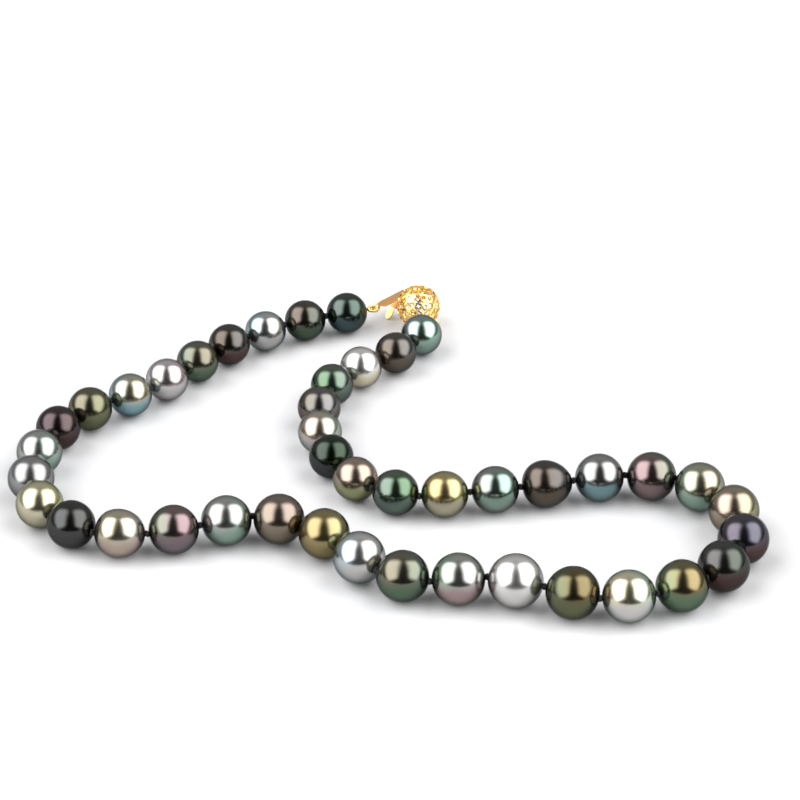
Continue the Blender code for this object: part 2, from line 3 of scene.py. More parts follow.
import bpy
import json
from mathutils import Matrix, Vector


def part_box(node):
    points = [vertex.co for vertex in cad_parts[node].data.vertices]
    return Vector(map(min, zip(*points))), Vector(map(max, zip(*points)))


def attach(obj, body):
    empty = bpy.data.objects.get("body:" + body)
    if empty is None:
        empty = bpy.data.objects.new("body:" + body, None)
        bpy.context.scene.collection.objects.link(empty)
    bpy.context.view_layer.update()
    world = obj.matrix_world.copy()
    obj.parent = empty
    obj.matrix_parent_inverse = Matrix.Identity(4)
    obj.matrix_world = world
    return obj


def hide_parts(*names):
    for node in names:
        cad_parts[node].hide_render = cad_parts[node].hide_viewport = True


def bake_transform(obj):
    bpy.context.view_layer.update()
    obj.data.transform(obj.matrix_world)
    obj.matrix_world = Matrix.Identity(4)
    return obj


bl_info = {
    "name": "Pearl Necklace",
    "version": (1, 0, 0),
    "blender": (4, 5, 0),
    "location": "View3D > Sidebar > Necklace",
    "description": "Dresses a strand of knotted pearls and its ball clasp, and lays them in a studio",
    "category": "Object",
}

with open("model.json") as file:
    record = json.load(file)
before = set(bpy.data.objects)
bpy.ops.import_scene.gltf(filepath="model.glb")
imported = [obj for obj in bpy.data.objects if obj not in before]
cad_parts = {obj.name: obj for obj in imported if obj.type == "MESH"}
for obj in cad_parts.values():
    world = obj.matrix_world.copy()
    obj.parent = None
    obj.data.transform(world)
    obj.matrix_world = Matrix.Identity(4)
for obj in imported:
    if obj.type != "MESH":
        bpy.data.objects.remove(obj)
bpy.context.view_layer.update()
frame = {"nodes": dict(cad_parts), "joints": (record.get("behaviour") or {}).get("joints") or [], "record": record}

import json
from math import asin, atan2, cos, hypot, pi, radians, sin

import bmesh
import bpy
from bpy.props import FloatProperty, FloatVectorProperty, PointerProperty
from bpy.types import Operator, Panel, PropertyGroup
from mathutils import Matrix, Vector, noise

MM = 0.001
UP = Vector((0, 0, 1))
JOIN_WITHIN = 0.0005 * MM  # points nearer than this are one

# Strand.
PEARL_COUNT = 43
PEARL_ARCS = 34
PEARL_SIDES = 64
MOUTH_ROUNDING = 0.1 * MM  # round the mouth of a drilled hole
KNOT_GAP = 0.7 * MM
KNOT_RADIUS = 0.34 * MM
KNOT_WAVE = 0.16 * MM  # how far the thread sways in and out round a knot
THREAD_DEPTHS = (0.15 * MM, 1.4 * MM)  # inside a hole, where a knot's thread straightens and where it ends

# Ball of the clasp, and the rings.
BALL_RADIUS = 4.7 * MM
BALL_ROLL = radians(38)
WIRE_DEPTH = 0.34 * MM
FLOWER_HEART = radians(2.7)  # from a flower's middle to where its petals start
GRAIN_RADIUS = 0.42 * MM
POLE_FLOWER = radians(32)  # from its middle to a petal's tip
SIDE_FLOWER = radians(26)
SIDE_FLOWER_LEAN = radians(60)
BAND_WALL = 0.4 * MM
BAND_HEIGHT = 0.5 * MM
SLOT_WIDTH = 2.4 * MM
SLOT_HEIGHT = 1.64 * MM
SLOT_RIM = 0.25 * MM
SLOT_RIM_DEPTH = 0.45 * MM
CATCH_BAR = 0.36 * MM
RING_RADIUS = 0.95 * MM
RING_WIRE = 0.56 * MM
LOOP_WIRE = 0.7 * MM
LOOP_TURNS = 46  # of the fine wire wound round a loop

# Tongue of the clasp.
TONGUE_LENGTH = 8.2 * MM
TONGUE_WIDTH = 2.2 * MM
TONGUE_THICKNESS = 0.36 * MM
TONGUE_FOOT = 2 * RING_RADIUS + RING_WIRE / 2 + 0.1 * MM  # from the swivel to the leaf's foot
FOLD_RADIUS = 0.34 * MM
SPRING_THICKNESS = 0.26 * MM
SPRING_LENGTH = 5.0 * MM
SPRING_WIDTH = 2.0 * MM
SPRING_OPENING = radians(22)

# Studio.
FLOOR_RADIUS = 1.2
FLOOR_MIDDLE = (0, 0.85, 0)
CAMERA_DISTANCE = 0.9
CAMERA_ELEVATION = radians(31.5)
CAMERA_LENS = 190.35
CAMERA_TARGET = (3.22 * MM, 23.97 * MM, 0.0)
SOFTBOX_HEIGHT = 0.704  # as much up as aside
SOFTBOX_FORWARD = 0.1  # towards the camera
SOFTBOX_LEAN = radians(32)
SOFTBOX_LONG = (-0.2, 0.92)  # middle and half length, at unit distance
SOFTBOX_SHORT = (0.0, 0.56)
SOFTBOX_EDGE = (-0.18, 0.26)
SOFTBOX_RADIANCE = 5.0
WALL_RADIANCE = 0.62
ROOM_RADIANCE = 0.004

# Pearls that aren't round: girth against length, and how much they narrow towards the ball end.
GIRTH = {3: 0.98, 14: 0.97, 20: 0.98, 23: 0.99, 32: 0.95, 36: 0.98}
TAPER = {14: -0.05, 23: 0.04, 32: 0.12}
LUMPS = {14: 0.012, 20: 0.02, 23: 0.016, 25: 0.012, 32: 0.01}
ROUND_LUMPS = 0.005

# Nacre: how much lighter its crown is painted, as a painted highlight, and how much darker its rim is painted, as
# painted shade, and the step between two pearls' patterns.
CROWN_HIGHLIGHT_GAIN = 1.25
RIM_SHADE_GAIN = 0.5
PATTERN_STEP = Vector((0.37, 0.11, 0.23))

# Each pearl's nacre: belly hue, how light it is, crown hue (painted lighter on top as a painted highlight), rim
# hue (painted darker at the rim as painted shade), roughness.
STRAND = [
    ("teal", 0.055, "jade", "ink", 0.17),
    ("forest", 0.062, "peach", "jade", 0.17),
    ("silver", 0.3, "silver", "teal", 0.19),
    ("aubergine", 0.055, "peach", "ink", 0.16),
    ("forest", 0.1, "champagne", "jade", 0.18),
    ("silver", 0.36, "silver", "mauve", 0.20),
    ("teal", 0.3, "champagne", "sky", 0.2),
    ("olive", 0.095, "champagne", "olive", 0.19),
    ("aubergine", 0.042, "rose", "mauve", 0.17),
    ("jade", 0.26, "silver", "jade", 0.2),
    ("silver", 0.19, "silver", "ink", 0.22),
    ("champagne", 0.36, "champagne", "olive", 0.21),
    ("silver", 0.034, "silver", "ink", 0.19),
    ("peach", 0.3, "champagne", "silver", 0.2),
    ("mauve", 0.125, "rose", "forest", 0.18),
    ("jade", 0.25, "silver", "jade", 0.2),
    ("bronze", 0.14, "peach", "bronze", 0.20),
    ("gold", 0.18, "gold", "olive", 0.20),
    ("silver", 0.36, "silver", "sky", 0.20),
    ("forest", 0.1, "champagne", "jade", 0.18),
    ("rose", 0.25, "silver", "forest", 0.19),
    ("silver", 0.46, "silver", "silver", 0.24),
    ("olive", 0.085, "gold", "forest", 0.2),
    ("silver", 0.42, "champagne", "jade", 0.2),
    ("forest", 0.12, "gold", "forest", 0.19),
    ("aubergine", 0.045, "silver", "forest", 0.19),
    ("aubergine", 0.06, "violet", "mauve", 0.18),
    ("bronze", 0.21, "peach", "olive", 0.20),
    ("jade", 0.25, "champagne", "jade", 0.19),
    ("rose", 0.13, "rose", "forest", 0.17),
    ("teal", 0.2, "silver", "ink", 0.17),
    ("bronze", 0.06, "peach", "ink", 0.21),
    ("jade", 0.2, "jade", "mauve", 0.16),
    ("champagne", 0.27, "gold", "olive", 0.21),
    ("jade", 0.095, "forest", "ink", 0.17),
    ("olive", 0.21, "peach", "bronze", 0.19),
    ("ink", 0.028, "forest", "ink", 0.16),
    ("silver", 0.3, "peach", "jade", 0.20),
    ("rose", 0.09, "silver", "bronze", 0.18),
    ("jade", 0.1, "forest", "ink", 0.18),
    ("champagne", 0.5, "silver", "silver", 0.22),
    ("bronze", 0.07, "peach", "ink", 0.19),
    ("jade", 0.24, "jade", "violet", 0.17),
]


# ----------------------------------------------------------------------------------------- settings


def tint(name, default):
    """A colour that the panel shows."""
    return FloatVectorProperty(
        name=name, description=f"{name} tint", subtype="COLOR", size=3, min=0.0, max=1.0, default=default
    )


def length(name, description, default):
    """A length that the panel shows, in metres."""
    return FloatProperty(
        name=name, description=description, subtype="DISTANCE", unit="LENGTH", min=0.0, default=default
    )


class NacreHues(PropertyGroup):
    """Tints that the pearls' nacre is mixed from."""

    silver: tint("Silver", (1.0, 0.98, 0.95))
    ink: tint("Ink", (0.9, 0.98, 1.0))
    forest: tint("Forest", (0.62, 1.0, 0.62))
    jade: tint("Jade", (0.68, 1.0, 0.82))
    teal: tint("Teal", (0.52, 0.92, 1.0))
    sky: tint("Sky", (0.55, 0.84, 1.0))
    violet: tint("Violet", (0.8, 0.78, 1.0))
    mauve: tint("Mauve", (1.0, 0.76, 0.88))
    rose: tint("Rose", (1.0, 0.7, 0.72))
    peach: tint("Peach", (1.0, 0.8, 0.66))
    champagne: tint("Champagne", (1.0, 0.92, 0.66))
    gold: tint("Gold", (1.0, 0.78, 0.36))
    olive: tint("Olive", (0.94, 1.0, 0.5))
    bronze: tint("Bronze", (1.0, 0.8, 0.58))
    aubergine: tint("Aubergine", (1.0, 0.5, 0.46))


class MetalColours(PropertyGroup):
    """Colours of the clasp and the thread."""

    polished: tint("Polished gold", (0.92, 0.63, 0.21))
    brushed: tint("Brushed gold", (0.74, 0.42, 0.16))
    silk: tint("Silk", (0.006, 0.0055, 0.007))
    floor: tint("Floor", (0.5, 0.5, 0.508))


class NecklaceSizes(PropertyGroup):
    """Sizes of the fine work."""

    hole: length("Drilled hole", "Radius of the hole through a pearl", 0.42 * MM)
    thread: length("Thread", "Thickness of the silk thread", 0.5 * MM)
    filigree: length("Filigree wire", "Width of the flat wire of the ball", 0.28 * MM)
    gimp: length("Gimp wire", "Thickness of the wire wound into the loops", 0.12 * MM)


# ------------------------------------------------------------------------------- shader expressions


class Value:
    """A shader number or vector that Python's operators work on."""

    def __init__(self, recipe, socket):
        self.recipe = recipe
        self.socket = socket

    def __add__(self, other):
        return self.recipe.maths("ADD", self, other)

    __radd__ = __add__

    def __sub__(self, other):
        return self.recipe.maths("SUBTRACT", self, other)

    def __rsub__(self, other):
        return self.recipe.maths("SUBTRACT", other, self)

    def __mul__(self, other):
        return self.recipe.maths("MULTIPLY", self, other)

    __rmul__ = __mul__


class Recipe:
    """A material or a world in the making."""

    def __init__(self, owner):
        owner.use_nodes = True
        self.owner = owner
        self.tree = owner.node_tree

    def feed(self, socket, value):
        if isinstance(value, Value):
            self.tree.links.new(value.socket, socket)
        else:
            socket.default_value = value

    def node(self, kind, settings=None, sockets=None, output=0):
        """Any node: its settings first, then its sockets by name or number. Gives one of its outputs."""
        made = self.tree.nodes.new(kind)
        for key, value in (settings or {}).items():
            setattr(made, key, value)
        for key, value in (sockets or {}).items():
            self.feed(made.inputs[key], value)
        return Value(self, made.outputs[output])

    def maths(self, operation, one, two):
        return self.node("ShaderNodeMath", {"operation": operation}, {0: one, 1: two})

    def between(self, value, low, high):
        """0 below low, 1 above high, and smooth between."""
        return self.node(
            "ShaderNodeMapRange",
            {"interpolation_type": "SMOOTHSTEP"},
            {"Value": value, "From Min": low, "From Max": high},
        )

    def along(self, vector, direction):
        """How far a vector reaches along a direction."""
        sockets = {0: vector, 1: tuple(direction)}
        return self.node("ShaderNodeVectorMath", {"operation": "DOT_PRODUCT"}, sockets, output="Value")

    def reach(self, vector, axis):
        """One part of a vector: X, Y or Z."""
        return self.node("ShaderNodeSeparateXYZ", sockets={0: vector}, output=axis)

    def mix(self, factor, one, two):
        """Mixes two colours."""
        return self.node("ShaderNodeMix", {"data_type": "RGBA"}, {0: factor, 6: one, 7: two}, output=2)

    def place(self, centre, scale=1.0):
        """Object coordinates about a centre, times scale."""
        at = self.node("ShaderNodeTexCoord", output="Object")
        about = self.node("ShaderNodeVectorMath", {"operation": "SUBTRACT"}, {0: at, 1: tuple(centre)})
        return self.node("ShaderNodeVectorMath", {"operation": "SCALE"}, {0: about, "Scale": scale})

    def noise(self, vector, scale, detail=2.0):
        return self.node("ShaderNodeTexNoise", sockets={"Vector": vector, "Scale": scale, "Detail": detail})

    def bump(self, height, distance, strength):
        sockets = {"Height": height, "Distance": distance, "Strength": strength}
        return self.node("ShaderNodeBump", sockets=sockets)

    def finish(self, shader="Principled BSDF", **sockets):
        """Sets or links the shader's own sockets and gives the material or the world."""
        for key, value in sockets.items():
            self.feed(self.tree.nodes[shader].inputs[key.replace("_", " ")], value)
        return self.owner


def rgba(colour, scale=1.0):
    """A colour made lighter or darker, no part of it above 1."""
    return (*(min(scale * part, 1.0) for part in colour), 1.0)


# ------------------------------------------------------------------------------------- mesh helpers


def new_piece(name, builder, material, smooth=True):
    """An object at the origin, with its place in its mesh."""
    mesh = bpy.data.meshes.new(name)
    builder.to_mesh(mesh)
    builder.free()
    mesh.materials.append(material)
    mesh.polygons.foreach_set("use_smooth", [smooth] * len(mesh.polygons))
    piece = bpy.data.objects.new(name, mesh)
    bpy.context.scene.collection.objects.link(piece)
    return piece


def slot_of(node):
    """The part's material slot of a node."""
    return next(part["material_slot"] for part in frame["record"]["subparts"] if part["node"] == node)


def stand_in(piece, body, node):
    """Lets a piece ride on a body in place of a node of the part."""
    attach(piece, body)
    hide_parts(node)
    slot_of(node)


def axes(x_axis, z_axis, centre):
    """A placing matrix with these directions for local X and Z."""
    x = Vector(x_axis).normalized()
    z = Vector(z_axis)
    z = (z - x * z.dot(x)).normalized()
    turn = Matrix((x, z.cross(x), z)).transposed().to_4x4()
    return Matrix.Translation(centre) @ turn


def along_z(direction, centre):
    """A placing matrix that lays local Z along a direction."""
    turn = Vector(direction).to_track_quat("Z", "Y").to_matrix().to_4x4()
    return Matrix.Translation(centre) @ turn


def chain(builder, points, closed=False):
    """Vertices joined one after another."""
    verts = [builder.verts.new(point) for point in points]
    for one, two in zip(verts, verts[1:]):
        builder.edges.new((one, two))
    if closed:
        builder.edges.new((verts[-1], verts[0]))
    return verts


def full_spin(builder, steps):
    """Turns a section once round Z."""
    bmesh.ops.spin(
        builder,
        geom=builder.verts[:] + builder.edges[:],
        axis=(0, 0, 1),
        cent=(0, 0, 0),
        angle=2 * pi,
        steps=steps,
        use_merge=True,
    )
    bmesh.ops.remove_doubles(builder, verts=builder.verts, dist=JOIN_WITHIN)
    bmesh.ops.recalc_face_normals(builder, faces=builder.faces)


def wire(builder, points, thickness, sides, closed):
    """Adds a round wire through points."""
    curve = bpy.data.curves.new("wire", "CURVE")
    curve.dimensions = "3D"
    curve.bevel_depth = thickness / 2
    curve.bevel_resolution = sides // 2 - 1
    curve.use_fill_caps = True
    spline = curve.splines.new("POLY")
    spline.points.add(len(points) - 1)
    for point, place in zip(spline.points, points):
        point.co = (*place, 1.0)
    spline.use_cyclic_u = closed
    holder = bpy.data.objects.new("wire", curve)
    bpy.context.scene.collection.objects.link(holder)
    bpy.context.view_layer.update()
    graph = bpy.context.evaluated_depsgraph_get()
    mesh = bpy.data.meshes.new_from_object(holder.evaluated_get(graph))
    builder.from_mesh(mesh)
    bpy.data.meshes.remove(mesh)
    bpy.data.objects.remove(holder)
    bpy.data.curves.remove(curve)


def torus(builder, ring_radius, wire_radius, matrix, steps=48, sides=16):
    """Adds a round ring about the matrix's Z."""
    made = bmesh.new()
    bmesh.ops.create_circle(made, segments=sides, radius=wire_radius)
    upright = Matrix.Translation((ring_radius, 0, 0)) @ Matrix.Rotation(pi / 2, 4, "X")
    bmesh.ops.transform(made, matrix=upright, verts=made.verts)
    full_spin(made, steps)
    bmesh.ops.transform(made, matrix=matrix, verts=made.verts)
    pour(made, builder)


def pour(source, builder):
    """Adds one builder's shape to another."""
    carried = bpy.data.meshes.new("carried")
    source.to_mesh(carried)
    source.free()
    builder.from_mesh(carried)
    bpy.data.meshes.remove(carried)


# ------------------------------------------------------------------------------------------- places


def middle_of(node):
    """Middle of a node's box."""
    low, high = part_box(node)
    return (Vector(low) + Vector(high)) / 2


def pivot(start):
    """Where the joint lies whose name starts so."""
    return Vector(next(joint["pos_m"] for joint in frame["joints"] if joint["name"].startswith(start)))


class PearlPlace:
    """Where one pearl lies, from the part's joints and boxes."""

    def __init__(self, number):
        self.number = number
        self.node = f"pearl_{number:02d}"
        middle = middle_of(self.node)
        before = pivot(f"knot_{number - 1:02d}") if number > 1 else None
        after = pivot(f"knot_{number:02d}") if number < PEARL_COUNT else None
        before = before or middle * 2 - after
        after = after or middle * 2 - before
        self.centre = (before + after) / 2
        self.centre.z = middle.z
        span = after - before
        span.z = 0
        self.axis = span.normalized()
        self.half_length = (span.length - KNOT_GAP) / 2
        self.half_girth = self.half_length * GIRTH.get(number, 1.0)

    def mouth(self, side, depth=0.0):
        """The middle of a hole's mouth, or a point this deep inside; side is -1 before and 1 after."""
        return self.centre + self.axis * side * (self.half_length - depth)


# ------------------------------------------------------------------------------------------- pearls


def nacre(place):
    """Layered nacre: a dark mirror-like body whose hue drifts from the top to the belly and the rim; the top is
    painted lighter as a painted highlight, and the rim painted darker as painted shade.
    """
    hues = bpy.context.scene.nacre_hues
    body, light, glow, rim, rough = STRAND[place.number - 1]
    body, glow, rim = (tuple(getattr(hues, name)) for name in (body, glow, rim))
    recipe = Recipe(bpy.data.materials.new(f"nacre_{place.number:02d}"))
    at = recipe.place(place.centre, 1 / place.half_girth)
    drifted = recipe.place(place.centre - PATTERN_STEP * place.number * MM, 1 / place.half_girth)
    drift = recipe.noise(drifted, 0.9) - 0.5
    # Painted highlight: the upper part of each pearl is painted lighter than its belly. The crown hue, and its
    # sway towards the rim hue on one side, are the nacre's overtone colour.
    crown_highlight = recipe.between(recipe.reach(at, "Z") + drift * 0.5, -0.05, 0.4)
    side = recipe.reach(at, "X") * (-1) ** place.number
    sway = recipe.between(side + drift * 0.8, -0.3, 0.6)
    lit = recipe.mix(sway * 0.5, rgba(glow, light * CROWN_HIGHLIGHT_GAIN), rgba(rim, light * CROWN_HIGHLIGHT_GAIN))
    colour = recipe.mix(crown_highlight, rgba(body, light), lit)
    # Painted shade: towards the rim, where the surface turns away from the view, each pearl is painted darker in
    # its rim hue. The hue is the nacre's overtone; the darkening is painted shade.
    edge = recipe.node("ShaderNodeLayerWeight", sockets={"Blend": 0.5}, output="Facing")
    ring = recipe.between(edge, 0.3, 0.85)
    colour = recipe.mix(ring * 0.9, colour, rgba(rim, light * RIM_SHADE_GAIN))
    cloud = recipe.noise(drifted, 5.0, 4.0)
    return recipe.finish(
        Base_Color=colour,
        Metallic=0.97,
        Roughness=(cloud - 0.5) * 0.06 + rough,
        Coat_Weight=0.3,
        Coat_Roughness=0.12,
        Coat_IOR=1.4,
        Specular_Tint=(0.5, 0.5, 0.5, 1.0),
        Normal=recipe.bump(cloud, 0.02 * MM, 0.5),
    )


def pearl_profile(place, hole):
    """(radius, height) points round half a pearl's section, with its drilled hole and a rounded mouth."""
    mouth = asin(hole / place.half_girth)
    taper = TAPER.get(place.number, 0.0)
    outside = []
    for step in range(PEARL_ARCS + 1):
        angle = mouth + (pi - 2 * mouth) * step / PEARL_ARCS
        radius = place.half_girth * sin(angle) * (1 + taper * cos(angle))
        outside.append((radius, place.half_length * cos(angle)))
    top, bottom = outside[0][1], outside[-1][1]
    inside = [(hole, bottom + MOUTH_ROUNDING), (hole, 0.0), (hole, top - MOUTH_ROUNDING)]
    outside[0] = (hole + MOUTH_ROUNDING, top)
    outside[-1] = (hole + MOUTH_ROUNDING, bottom)
    return outside + inside


def pearl_piece(place):
    """A drilled pearl, a little lumpy away from its hole."""
    hole = bpy.context.scene.necklace_sizes.hole
    builder = bmesh.new()
    chain(builder, [(radius, 0, height) for radius, height in pearl_profile(place, hole)], closed=True)
    full_spin(builder, PEARL_SIDES)
    lumps = LUMPS.get(place.number, ROUND_LUMPS)
    seed = Vector((place.number * 3.7, 1.3, 2.9))
    for vert in builder.verts:
        if hypot(vert.co.x, vert.co.y) > hole * 1.6:
            way = vert.co.normalized()
            swell = noise.noise(way * 1.1 + seed) + 0.35 * noise.noise(way * 2.6 + seed)
            vert.co += way * (swell * lumps - lumps / 2) * place.half_girth
    bmesh.ops.transform(builder, matrix=along_z(place.axis, place.centre), verts=builder.verts)
    bmesh.ops.recalc_face_normals(builder, faces=builder.faces)
    piece = new_piece(f"nacre_pearl_{place.number:02d}", builder, nacre(place))
    stand_in(piece, place.node, place.node)


class NECKLACE_OT_pearls(Operator):
    """Builds the drilled pearls"""

    bl_idname = "necklace.pearls"
    bl_label = "Pearls"

    def execute(self, context):
        for number in range(1, PEARL_COUNT + 1):
            pearl_piece(PearlPlace(number))
        return {"FINISHED"}


# -------------------------------------------------------------------------------------------- knots


def silk():
    """Black twisted thread."""
    colours = bpy.context.scene.metal_colours
    recipe = Recipe(bpy.data.materials.new("black_silk"))
    at = recipe.place(Vector(), 1 / MM)
    ply = recipe.node(
        "ShaderNodeTexWave",
        {"wave_type": "BANDS", "bands_direction": "DIAGONAL"},
        {"Vector": at, "Scale": 3.0, "Distortion": 2.0, "Detail": 2.0},
    )
    fuzz = recipe.noise(at, 14.0, 4.0)
    colour = recipe.mix(ply * fuzz, rgba(colours.silk), rgba(colours.silk, 3.0))
    return recipe.finish(
        Base_Color=colour,
        Roughness=fuzz * 0.3 + 0.45,
        Sheen_Weight=0.1,
        Sheen_Roughness=0.4,
        Normal=recipe.bump(ply, 0.05 * MM, 0.8),
    )


def knot_points(steps=72):
    """An overhand knot pulled tight, about local Z."""
    points = []
    for step in range(steps):
        turn = 2 * pi * step / steps
        reach = KNOT_RADIUS + KNOT_WAVE * cos(3 * turn)
        height = KNOT_WAVE * 1.15 * sin(3 * turn)
        points.append(Vector((reach * cos(2 * turn), reach * sin(2 * turn), height)))
    return points


def knot_piece(before, after, material):
    """The knot between two pearls, with the thread that runs into both."""
    thread = bpy.context.scene.necklace_sizes.thread
    start = before.mouth(1)
    end = after.mouth(-1)
    middle = (start + end) / 2
    shallow, deep = THREAD_DEPTHS
    run = [before.mouth(1, deep), before.mouth(1, shallow), middle]
    run += [after.mouth(-1, shallow), after.mouth(-1, deep)]
    turned = along_z(end - start, middle) @ Matrix.Rotation(before.number * 1.3, 4, "Z")
    builder = bmesh.new()
    wire(builder, run, thread, 8, closed=False)
    wire(builder, [turned @ point for point in knot_points()], thread, 8, closed=True)
    piece = new_piece(f"silk_knot_{before.number:02d}", builder, material)
    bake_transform(piece)
    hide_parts("silk_thread")
    slot_of("silk_thread")


class NECKLACE_OT_knots(Operator):
    """Builds the knots and the thread between the pearls"""

    bl_idname = "necklace.knots"
    bl_label = "Knots"

    def execute(self, context):
        material = silk()
        places = [PearlPlace(number) for number in range(1, PEARL_COUNT + 1)]
        for before, after in zip(places, places[1:]):
            knot_piece(before, after, material)
        return {"FINISHED"}


# -------------------------------------------------------------------------------------------- clasp


def polished_gold():
    """Gold with fine scratches."""
    colours = bpy.context.scene.metal_colours
    recipe = Recipe(bpy.data.materials.new("polished_gold"))
    at = recipe.place(Vector(), 1 / MM)
    cloud = recipe.noise(at, 1.7, 3.0)
    scratch = recipe.noise(at, 22.0, 4.0)
    colour = recipe.mix(recipe.between(cloud, 0.3, 0.7), rgba(colours.polished), rgba(colours.polished, 0.86))
    return recipe.finish(
        Base_Color=colour,
        Metallic=1.0,
        Roughness=scratch * 0.14 + 0.12,
        Normal=recipe.bump(scratch, 0.01 * MM, 0.4),
    )


def brushed_gold(direction):
    """Gold brushed along a direction."""
    colours = bpy.context.scene.metal_colours
    recipe = Recipe(bpy.data.materials.new("brushed_gold"))
    at = recipe.node("ShaderNodeTexCoord", output="Object")
    turn = -atan2(direction.y, direction.x)
    lengthwise = recipe.node(
        "ShaderNodeMapping",
        {"vector_type": "POINT"},
        {"Vector": at, "Rotation": (0, 0, turn), "Scale": (0.25 / MM, 6 / MM, 6 / MM)},
    )
    grain = recipe.noise(lengthwise, 2.5, 4.0)
    cloud = recipe.noise(recipe.place(Vector(), 1 / MM), 0.8, 2.0)
    colour = recipe.mix(grain, rgba(colours.brushed, 0.8), rgba(colours.brushed, 1.1))
    return recipe.finish(
        Base_Color=colour,
        Metallic=1.0,
        Roughness=grain * 0.2 + cloud * 0.15 + 0.22,
        Normal=recipe.bump(grain, 0.02 * MM, 0.5),
    )


def ball_axes():
    """The ball's frame: local X from ring to slot, local Z to the pole of the near half shell."""
    centre = ball_centre()
    x_axis = (centre - pivot("ball_swivel")).normalized()
    across = UP.cross(x_axis).normalized()
    z_axis = x_axis.cross(across) * cos(BALL_ROLL) + across * sin(BALL_ROLL)
    return axes(x_axis, z_axis, centre)


def ball_centre():
    """Middle of the box round both half shells."""
    boxes = [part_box(node) for node in ("ball_shell_near", "ball_shell_far", "seam_band")]
    low = Vector([min(box[0][axis] for box in boxes) for axis in range(3)])
    high = Vector([max(box[1][axis] for box in boxes) for axis in range(3)])
    return (low + high) / 2


def on_ball(frame_of_flower, out, turn, radius):
    """A point of the ball this far (an angle) from a flower's middle, in the direction turn."""
    local = Vector((sin(out) * cos(turn), sin(out) * sin(turn), cos(out)))
    return frame_of_flower @ (local * radius)


def ribbon(builder, outline, width, depth):
    """Adds a flat wire set on edge along a closed outline on the ball."""
    made = bmesh.new()
    chain(made, outline, closed=True)
    grown = bmesh.ops.extrude_edge_only(made, edges=made.edges[:])
    inner = [item for item in grown["geom"] if isinstance(item, bmesh.types.BMVert)]
    bmesh.ops.scale(made, vec=(1 - depth / BALL_RADIUS,) * 3, verts=inner)
    bmesh.ops.recalc_face_normals(made, faces=made.faces)
    bmesh.ops.solidify(made, geom=made.faces[:], thickness=width)
    bmesh.ops.remove_doubles(made, verts=made.verts, dist=JOIN_WITHIN)
    bmesh.ops.recalc_face_normals(made, faces=made.faces)
    pour(made, builder)


def petal_outline(turned, start, end, breadth, turn, radius, steps=12):
    """A pointed petal from start to end, at most breadth to each side, all angles from the flower's middle."""
    outline = []
    for side in (1, -1):
        for step in range(steps):
            share = step / steps if side == 1 else 1 - step / steps
            along = start + (end - start) * share
            aside = side * breadth * sin(pi * share**0.85) ** 0.9
            outline.append(on_ball(turned, hypot(along, aside), turn + atan2(aside, along), radius))
    return outline


def small_ring(builder, turned, size, width, steps=16):
    """Adds a small ring of flat wire about a point of the ball; size is the angle from its middle."""
    outline = [on_ball(turned, size, 2 * pi * step / steps, BALL_RADIUS) for step in range(steps)]
    ribbon(builder, outline, width, 0.3 * MM)


def flower(builder, turned, petals, size, width):
    """Adds a flower of wire petals with a grain in its middle."""
    breadth = min(size * sin(pi / petals) * 0.66, radians(10))
    for index in range(petals):
        turn = 2 * pi * index / petals
        outline = petal_outline(turned, FLOWER_HEART, size, breadth, turn, BALL_RADIUS - 0.02 * MM)
        ribbon(builder, outline, width, WIRE_DEPTH)
    made = bmesh.new()
    bmesh.ops.create_uvsphere(made, u_segments=12, v_segments=8, radius=GRAIN_RADIUS)
    place = Matrix.Translation(turned @ Vector((0, 0, BALL_RADIUS - 0.25 * MM)))
    bmesh.ops.transform(made, matrix=place, verts=made.verts)
    pour(made, builder)


def leaning(turn, lean):
    """Turns a flower's place round the pole and leans it away from the pole."""
    return Matrix.Rotation(turn, 4, "Z") @ Matrix.Rotation(lean, 4, "Y")


def half_shell(turned_shell, width):
    """One half of the ball: a flower on the pole and six round it, with small rings between them."""
    builder = bmesh.new()
    flower(builder, turned_shell, 6, POLE_FLOWER, width)
    for index in range(6):
        turn = radians(60 * index)
        flower(builder, turned_shell @ leaning(turn + radians(30), SIDE_FLOWER_LEAN), 5, SIDE_FLOWER, width)
        small_ring(builder, turned_shell @ leaning(turn, radians(41)), radians(4.5), width)
        if index not in (0, 3):  # there the slot and the ring are
            small_ring(builder, turned_shell @ leaning(turn, radians(80)), radians(5.5), width)
    return builder


def soften(piece, width, segments=2):
    """Rounded edges, in a live modifier."""
    bevel = piece.modifiers.new("soft_edges", "BEVEL")
    bevel.width = width
    bevel.segments = segments
    bevel.limit_method = "ANGLE"
    bevel.angle_limit = radians(40)
    bevel.harden_normals = False


def ball_half_piece(name, node, matrix, material):
    """One openwork half of the ball."""
    builder = half_shell(matrix.to_3x3().to_4x4(), bpy.context.scene.necklace_sizes.filigree)
    bmesh.ops.translate(builder, vec=matrix.translation, verts=builder.verts)
    piece = new_piece(name, builder, material, smooth=False)
    stand_in(piece, "ball", node)


def cage_piece(matrix, material):
    """The catch box as an open frame of bars, which takes the tongue's tip."""
    box = frame["nodes"]["catch_box"]
    corners = [matrix.inverted() @ (box.matrix_world @ vertex.co) for vertex in box.data.vertices]
    low = Vector([min(corner[axis] for corner in corners) for axis in range(3)])
    high = Vector([max(corner[axis] for corner in corners) for axis in range(3)])
    builder = bmesh.new()
    bmesh.ops.create_cube(builder, size=1.0)
    bmesh.ops.scale(builder, vec=high - low - Vector((CATCH_BAR,) * 3), verts=builder.verts)
    bmesh.ops.translate(builder, vec=(low + high) / 2, verts=builder.verts)
    bmesh.ops.wireframe(
        builder,
        faces=builder.faces[:],
        thickness=CATCH_BAR,
        use_replace=True,
        use_even_offset=True,
        use_boundary=True,
    )
    bmesh.ops.transform(builder, matrix=matrix, verts=builder.verts)
    piece = new_piece("catch_frame", builder, material, smooth=False)
    stand_in(piece, "ball", "catch_box")


